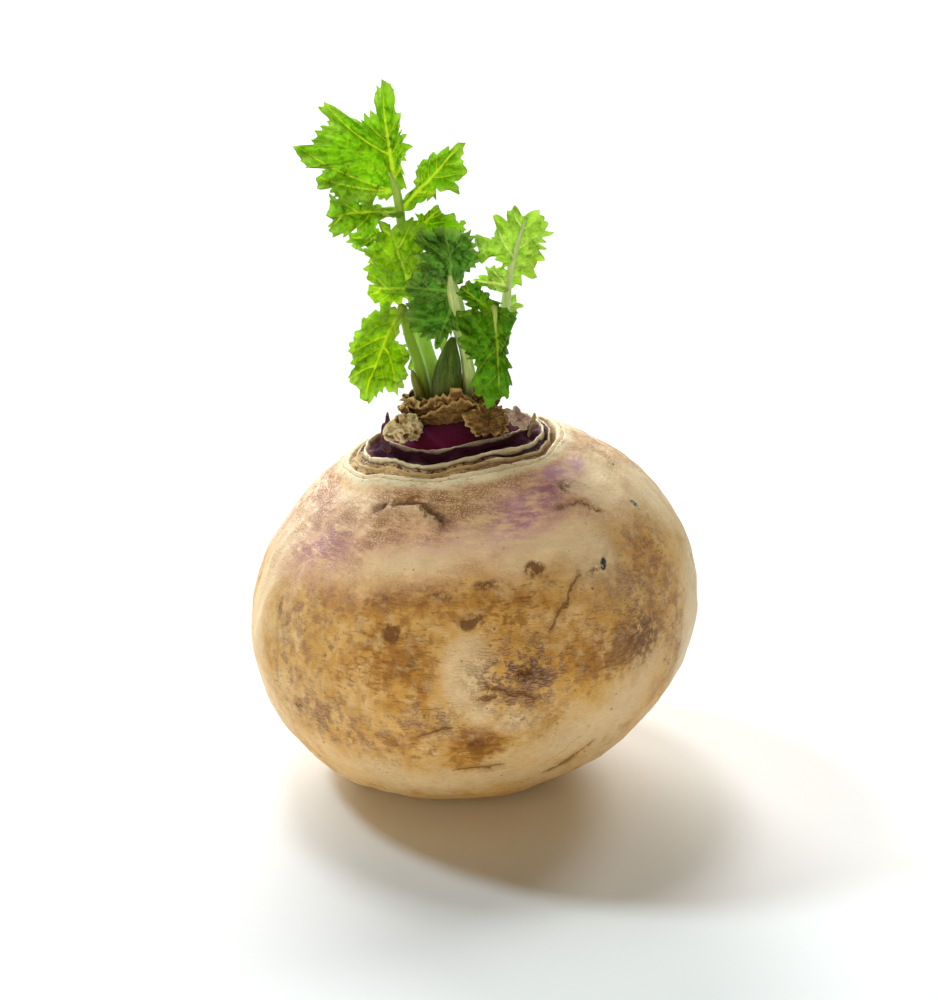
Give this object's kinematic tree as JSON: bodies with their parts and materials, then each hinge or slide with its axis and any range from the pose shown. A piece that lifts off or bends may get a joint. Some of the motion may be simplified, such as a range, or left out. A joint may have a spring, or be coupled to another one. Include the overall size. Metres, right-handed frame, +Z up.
{
  "type": "turnip",
  "caption": "Whole purple-top turnip standing on its trimmed base, with a stepped crown, a dry papery collar and a tuft of fresh lobed leaves.",
  "frame": {"origin": "on the flat resting spot under the middle of the root, at the level of the surface it stands on", "axes": "+Z up through the crown, +X to the right of a viewer who faces the front, +Y to the back"},
  "size_m": [0.0916, 0.0923, 0.1428],
  "materials": {
    "root_skin": "satin",
    "dry_sheath": "matte",
    "cork": "matte",
    "leaf_green": "satin",
    "leaf_dark_green": "satin",
    "bud_yellow": "satin",
    "scale_purple": "satin"
  },
  "bodies": {
    "root": {"turnip_root": "root_skin", "dry_collar": "dry_sheath", "old_stalk_stub": "cork", "leaf_tall": "leaf_green", "leaf_centre": "leaf_green", "leaf_dark": "leaf_dark_green", "leaf_left": "leaf_green", "leaf_back": "leaf_green", "leaf_front": "leaf_green", "leaf_right": "leaf_green", "leaf_bud": "leaf_dark_green", "bud_tip": "bud_yellow", "dry_scale_right": "dry_sheath", "dry_scale_pale": "scale_purple", "scale_tip_left": "scale_purple", "scale_tip_right": "dry_sheath"}
  },
  "joints": []
}
